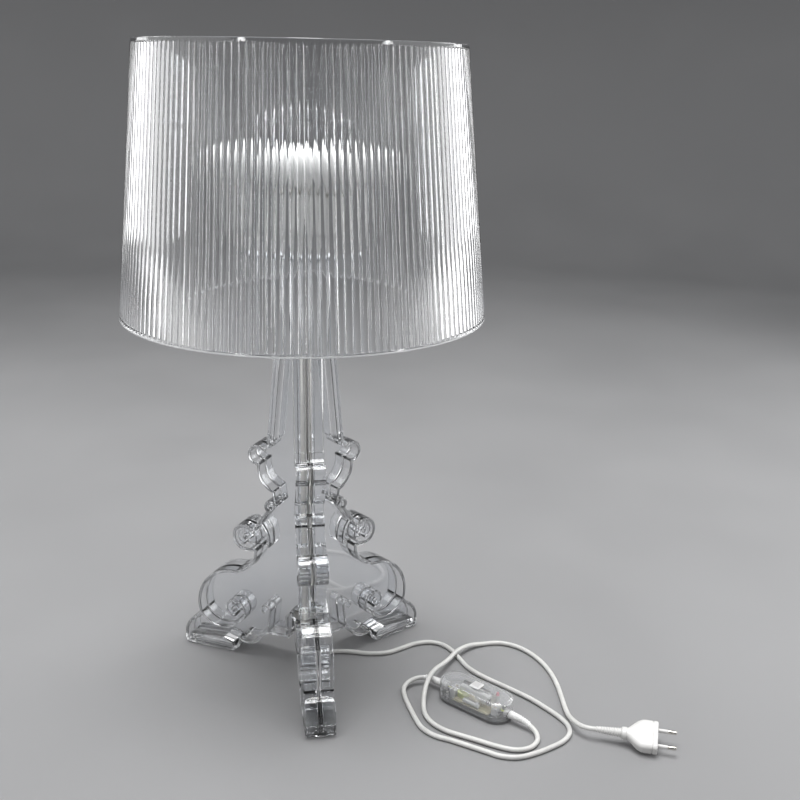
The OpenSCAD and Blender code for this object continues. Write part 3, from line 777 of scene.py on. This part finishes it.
def dimmer_cover():
    """The upper shell, with the slider's slot and its part of each lead's hole."""
    outer = solid_pill([(0.3, SPLIT_Z + 0.1), (0, SPLIT_Z + 0.5)] + crown(0, 5))
    inner = solid_pill([(DIMMER_WALL, SPLIT_Z - 2)] + crown(DIMMER_WALL, 3.4))
    slot = soft_box((-17, -2.5, DIMMER_H - 4), (17, 2.5, DIMMER_H + 3), 0.8)
    return combined("DIFFERENCE", outer, [inner, slot] + lead_ways())


def slider_cap():
    """A ridged thumb pad over the slot, on its stem."""
    pad = soft_box((-6, -6, DIMMER_H + 0.4), (6, 6, DIMMER_H + 2.6), 0.9)
    ridges = [soft_box((x - 0.5, -4.6, DIMMER_H + 2), (x + 0.5, 4.6, DIMMER_H + 3.4), 0.35)
              for x in (-4, -2, 0, 2, 4)]
    stem = soft_box((-1.5, -1.5, 19.5), (1.5, 1.5, DIMMER_H + 1), 0.2)
    return combined("UNION", pad, ridges + [stem])


def wire(name, points, radius, material, matrix=DIMMER, closed=False):
    """A round wire along its points: a smooth open one, or a closed one of straight steps."""
    data = round_line(name, radius, material, 3, 6)
    line = data.splines.new("POLY" if closed else "BEZIER")
    knots = line.points if closed else line.bezier_points
    knots.add(len(points) - 1)
    for knot, point in zip(knots, points):
        where = matrix @ Vector(point) * MM
        if closed:
            knot.co = (*where, 1)
        else:
            knot.co = where
            knot.handle_left_type = knot.handle_right_type = "AUTO"
    line.use_cyclic_u = closed
    piece = bpy.data.objects.new(name, data)
    SCENE.collection.objects.link(piece)
    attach(piece, "stand")


CHOKE_AT, CHOKE_R, CHOKE_BORE, CHOKE_H = (-16, 0), 7, 3, 7
WIRE_R, WIRE_TURNS, TURN_STEPS = 0.34, 30, 12


def make_choke():
    """A ring core wound with lacquered wire."""
    inner, outer, low, high = CHOKE_BORE + 0.7, CHOKE_R - 0.7, 0.6, CHOKE_H - 0.6
    core = lathe("core", rounded([(inner, low), (outer, low), (outer, high), (inner, high)], 0.9), 48)
    place = DIMMER @ at(*CHOKE_AT, BOARD_TOP)
    shown("choke_core", placed(core, place), CORE, "stand", ["dimmer_choke"])
    middle, half_w, half_h = (CHOKE_BORE + CHOKE_R) / 2, (CHOKE_R - CHOKE_BORE) / 2 - 0.35, CHOKE_H / 2 - 0.35
    points = []
    for k in range(WIRE_TURNS * TURN_STEPS):
        a, b = 2 * math.pi * k / (WIRE_TURNS * TURN_STEPS), 2 * math.pi * k / TURN_STEPS
        r = middle + half_w * math.cos(b)
        points.append((r * math.cos(a), r * math.sin(a), CHOKE_H / 2 + half_h * math.sin(b)))
    wire("choke_winding", points, WIRE_R, CORE, matrix=place, closed=True)


def inside(name, mesh, material, replaces=()):
    """Shows a piece of the dimmer, drawn in the dimmer's own frame."""
    shown(name, placed(mesh, DIMMER), material, "stand", replaces)


def make_circuit():
    """The board with what stands on it, and the slide track under the cover."""
    z = BOARD_TOP
    card = soft_box((-22, -12, 4), (23, 12, z), 0.25)
    inside("circuit_card", card, BOARD, ["dimmer_board"])
    inside("film_capacitor", soft_box((-3, 3, z), (11, 10, z + 10), 0.9), WHITE, ["dimmer_capacitor"])
    package = soft_box((13, 1, z), (17.5, 11, z + 9), 0.4)
    inside("triac_package", package, DARK, ["dimmer_triac"])
    fins = [soft_box((18.2, y, z + 0.4), (19, y + 0.7, z + 11.8), 0.15)
            for y in (3.4 + 1.5 * k for k in range(5))]
    sink = combined("UNION", soft_box((17.7, 3, z), (18.4, 11.5, z + 12), 0.2), fins)
    inside("triac_heat_sink", sink, STEEL)
    tube = [(0, TINY), (0, 2.2), (0.3, 2.5), (5, 2.5), (5.1, 2.3),
            (14.9, 2.3), (15, 2.5), (19.7, 2.5), (20, 2.2), (20, TINY)]
    fuse = turned("fuse", tube, 32, at(-10, -8, z + 2.6) @ about("Y", 90))
    inside("glass_fuse", fuse, FUSE, ["dimmer_fuse"])
    groove = soft_box((-16, -1.8, 17), (16, 1.8, 22), 0.3)
    track = combined("DIFFERENCE", soft_box((-19, -4, 16), (19, 2.5, 19.2), 0.5), [groove])
    inside("slide_track", track, WHITE, ["dimmer_slide_pot"])
    make_indicator(at(20.8, 10, z))
    for k, x in enumerate((4, 7.5, 11), 1):
        body = [(0, TINY), (0, 0.9), (0.5, 1.1), (1.6, 1.1), (2, 0.85),
                (4, 0.85), (4.4, 1.1), (5.5, 1.1), (6, 0.9), (6, TINY)]
        resistor = turned("resistor", body, 20, at(x, -3.2, z + 1.1) @ about("X", -90))
        inside(f"resistor_{k}", resistor, BOARD)


def make_indicator(place):
    """A red lens on a white spacer that stands on the board."""
    lens = [(10.4, TINY), (10.4, 1.5), (10.5, 1.9), (11.1, 1.9), (11.2, 1.6),
            (12.9, 1.6), (13.7, 1.4), (14.2, 0.9), (14.5, TINY)]
    inside("indicator_lens", turned("lens", lens, 32, place), RED, ["dimmer_indicator"])
    spacer = [(0, TINY), (0, 2), (0.3, 2.2), (1, 2.2), (1.3, 1.6), (10.2, 1.6), (10.3, 1.4), (10.3, TINY)]
    inside("indicator_spacer", turned("spacer", spacer, 32, place), WHITE)


def make_terminals():
    """A two-way terminal block at each end, with slotted screws and the lead's two cores."""
    blocks, heads = [], []
    for side, end in ((-1, "left"), (1, "right")):
        x = side * 27
        block = soft_box((x - 3.5, -6, 2), (x + 3.5, 6, 12), 0.7)
        wells = [turned("well", [(9.6, 1.9), (14, 1.9)], 24, at(x, y, 0)) for y in (-3, 3)]
        blocks.append(combined("DIFFERENCE", block, wells))
        for y, way, colour in ((-3, "a", DARK), (3, "b", CORE)):
            profile = [(8.6, TINY), (8.6, 1.7), (10.6, 1.7), (10.9, 1.4), (10.9, TINY)]
            slot = soft_box((x - 2.5, y - 0.3, 10.3), (x + 2.5, y + 0.3, 12), 0.05)
            heads.append(combined("DIFFERENCE", turned("head", profile, 24, at(x, y, 0)), [slot]))
            route = [(side * 37.4, y * 0.3, LEAD_Z), (side * 34.5, y * 0.5, 8.6), (side * 30.4, y, 7)]
            wire(f"core_{end}_{way}", route, 0.8, colour)
    inside("terminal_blocks", combined("UNION", blocks[0], blocks[1:]), WHITE, ["dimmer_terminals"])
    inside("terminal_screws", combined("UNION", heads[0], heads[1:]), BRASS)


def make_dimmer_reliefs():
    """Ribbed reliefs that start inside the two ends and bend with the leads."""
    grommet = [(0, 3.6), (0.5, GROMMET_R), (3.5, GROMMET_R), (3.7, 3.9),
               (4.9, 3.9), (5.1, GROMMET_R), (7, GROMMET_R)]
    profile = grommet + ribbed(7.4, 32, GROMMET_R, 3.1)
    sleeves = []
    for turn, route in ((180, LEAD_A[::-1]), (0, LEAD_B)):
        start = DIMMER @ about("Z", turn) @ Vector((DIMMER_L / 2 - 7, 0, LEAD_Z))
        sleeves.append(sleeve("relief", [start] + smooth(route), profile))
    shown("ribbed_dimmer_reliefs", combined("UNION", sleeves[0], sleeves[1:]), WHITE, "stand",
          ["dimmer_grommets"])


def make_dimmer():
    """The clear housing with its slider and screws, and everything inside it."""
    inside("clear_base", dimmer_base(), HOUSING, ["dimmer_base"])
    inside("clear_cover", dimmer_cover(), HOUSING, ["dimmer_cover"])
    shown("ridged_slider", placed(slider_cap(), DIMMER), WHITE, "slider", ["dimmer_slider"])
    screws = []
    for x, y in SCREWS:
        profile = [(0.3, TINY), (0.3, 1.1), (0.6, 1.5), (9.4, 1.5), (9.8, 1.1), (9.8, TINY)]
        slot = soft_box((x - 2, y - 0.25, -1), (x + 2, y + 0.25, 0.9), 0.05)
        screws.append(combined("DIFFERENCE", turned("screw", profile, 24, at(x, y, 0)), [slot]))
    inside("housing_screws", combined("UNION", screws[0], screws[1:]), STEEL, ["dimmer_screws"])
    make_choke()
    make_circuit()
    make_terminals()
    make_dimmer_reliefs()


make_dimmer()


# ---------------------------------------------------------------- plug
PLUG_AT, PLUG_TURN, PLUG_ROLL = (301, -201.3, 12.5), -22.8, 20
BODY_L, PIN_L, PIN_R, PIN_PITCH, PIN_SLEEVE_L, PLUG_RELIEF_L = 36, 19, 2, 18.6, 10, 22
PLUG_POSE = at(*PLUG_AT) @ about("Z", PLUG_TURN) @ about("X", PLUG_ROLL)
# Distance from the lead's end, half width, half thickness and how square the section is, as oval() says
PLUG_SECTIONS = (
    (0, 5.2, 5, 2.2), (0.7, 6.1, 5.9, 2.2), (4.6, 6.3, 6, 2.3), (5.4, 5.7, 5.4, 2.3),
    (7, 6.4, 5.4, 2.4), (9.5, 8.9, 5.7, 2.7), (12.5, 12, 6.2, 3), (16, 15.2, 6.6, 3.4),
    (20, 17.2, 6.85, 3.8), (24, 17.65, 6.85, 4.2), (30.4, 17.3, 6.8, 4.6), (30.7, 16.7, 6.3, 4.6),
    (31.5, 16.7, 6.3, 4.6), (31.8, 17.4, 6.85, 4.8), (35.2, 17.2, 6.8, 4.8), (36, 16.5, 6.2, 4.6),
)


def oval(half_w, half_t, square, x, steps=48):
    """A ring across the plug: an ellipse where square is 2, and nearer a rectangle above that."""
    ring = []
    for k in range(steps):
        c, s = math.cos(2 * math.pi * k / steps), math.sin(2 * math.pi * k / steps)
        ring.append((x, half_w * math.copysign(abs(c) ** (2 / square), c),
                     half_t * math.copysign(abs(s) ** (2 / square), s)))
    return ring


def make_plug():
    """The moulded body with its ribbed relief, and two pins with insulating sleeves."""
    body = stacked("plug", [oval(w, t, square, x) for x, w, t, square in PLUG_SECTIONS])
    shown("moulded_plug", placed(body, PLUG_POSE), PLUG, "stand", ["plug_body"])
    ends = [PLUG_POSE @ Vector((x, 0, 0)) for x in (1.5, -PLUG_RELIEF_L)]
    profile = [(0, 4.4), (1.4, 4.7)] + ribbed(1.6, 27.4, 4.9, 3.1)
    relief = sleeve("relief", ends + smooth(LEAD_B[::-1]), profile)
    shown("ribbed_plug_relief", relief, PLUG, "stand", ["plug_relief"])
    tip = [(PIN_L - PIN_R + PIN_R * math.sin(a), max(PIN_R * math.cos(a), TINY))
           for a in (math.radians(15 * k) for k in range(7))]
    neck_r, bore = PIN_R - 0.5, PIN_R - 0.45  # a pin is thinner under its sleeve
    pin = [(0.1, TINY), (0.1, neck_r), (PIN_SLEEVE_L + 0.1, neck_r), (PIN_SLEEVE_L + 0.1, PIN_R)] + tip
    collar = [(bore, 0), (PIN_R, 0), (PIN_R, PIN_SLEEVE_L - 0.3),
              (PIN_R - 0.25, PIN_SLEEVE_L), (bore, PIN_SLEEVE_L)]
    places = [PLUG_POSE @ at(BODY_L, side * PIN_PITCH / 2, 0) @ about("Y", 90) for side in (-1, 1)]
    pins = [turned("pin", pin, 32, place) for place in places]
    collars = [placed(lathe("collar", collar, 32), place) for place in places]
    shown("nickel_pins", combined("UNION", pins[0], pins[1:]), NICKEL, "stand", ["plug_pins"])
    shown("pin_insulation", combined("UNION", collars[0], collars[1:]), PLUG, "stand",
          ["pin_sleeves"])


make_plug()


# ---------------------------------------------------------------- CAD parts that keep their shape
FINISHES = {
    PAD: ["foot_pads"],
    STEEL: ["centre_tube", "bottom_plate", "bottom_washer", "bottom_nut", "locking_nut"],
    SHEATH: ["inner_cable"],
    CHROME: ["stand_cap", "shade_tube", "shade_rod", "spider_washer"],
    WHITE: ["lamp_carrier"],
    BRASS: ["holder_insert_1", "holder_insert_2", "holder_insert_3"],
    CLEAR: ["shade_spider", "spider_rivets"],
}


def finish_cad_parts():
    """Gives each of these CAD nodes its finish."""
    for material, names in FINISHES.items():
        for name in names:
            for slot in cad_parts[name].material_slots:
                slot.material = material


finish_cad_parts()


# ---------------------------------------------------------------- studio
def make_floor():
    """A pale floor that curves up into a wall all round, far outside the lamp."""
    flat_r, curve_r, wall_h, steps = 2600, 900, 3200, 96
    curve = arc((flat_r, curve_r), curve_r, -90, 0, 15)
    rings = [hoop(r * MM, z * MM, steps) for r, z in [(0.001, 0)] + curve + [(flat_r + curve_r, wall_h)]]
    mesh = bpy.data.meshes.new("floor")
    mesh.from_pydata([point for ring in rings for point in ring], [], quads(len(rings), steps))
    mesh.shade_smooth()
    paint = finish_of("studio_floor", (0.21, 0.21, 0.213), (0.225, 0.225, 0.228), (0.6, 0.8), 3, 0.05)
    mesh.materials.append(paint)
    floor = bpy.data.objects.new("studio_floor", mesh)
    SCENE.collection.objects.link(floor)


def softbox(name, place, aim, size, power):
    """A rectangular light that points at aim and isn't seen itself, in millimetres and watts."""
    data = bpy.data.lights.new(name, "AREA")
    data.shape = "RECTANGLE"
    data.size, data.size_y = size[0] * MM, size[1] * MM
    data.energy = power
    light = bpy.data.objects.new(name, data)
    SCENE.collection.objects.link(light)
    light.location = Vector(place) * MM
    light.rotation_euler = (Vector(aim) - Vector(place)).to_track_quat("-Z", "Y").to_euler()
    light.visible_camera = False


SIDE_BOX, LOW_BOX, REAR_STRIP, FRONT_STRIP = (2300, 1500), (1100, 320), (420, 1400), (110, 1300)
SHADE_MIDDLE, WING_MIDDLE, STAND_MIDDLE = (0, 0, 600), (0, 0, 200), (0, 0, 350)
LIGHTS = (
    ("left_softbox", (-1500, -50, 900), SHADE_MIDDLE, SIDE_BOX, 7.5),
    ("right_softbox", (1600, 0, 900), SHADE_MIDDLE, SIDE_BOX, 7.5),
    ("left_low_box", (-1300, -150, 210), WING_MIDDLE, LOW_BOX, 2.6),
    ("right_low_box", (1300, 0, 210), WING_MIDDLE, LOW_BOX, 2.6),
    ("top_softbox", (0, 100, 2300), (0, 0, 300), (1600, 1600), 78),
    ("left_strip", (-1100, 950, 950), STAND_MIDDLE, REAR_STRIP, 4.5),
    ("right_strip", (1450, 850, 950), STAND_MIDDLE, REAR_STRIP, 4.5),
    ("front_left_strip", (-1050, -1150, 850), STAND_MIDDLE, FRONT_STRIP, 5),
    ("front_right_strip", (1200, -1000, 850), STAND_MIDDLE, FRONT_STRIP, 5),
)


def make_studio():
    """The floor, the lights, a faint cool surround and enough bounces for clear plastic."""
    make_floor()
    for light in LIGHTS:
        softbox(*light)
    world = bpy.data.worlds.new("studio")
    SCENE.world = world
    world.use_nodes = True
    surround = world.node_tree.nodes["Background"]
    surround.inputs["Color"].default_value = (0.94, 0.96, 1.0, 1)
    surround.inputs["Strength"].default_value = 0.4
    SCENE.cycles.max_bounces = 24
    SCENE.cycles.transmission_bounces = 24
    SCENE.view_settings.view_transform = "Standard"


make_studio()
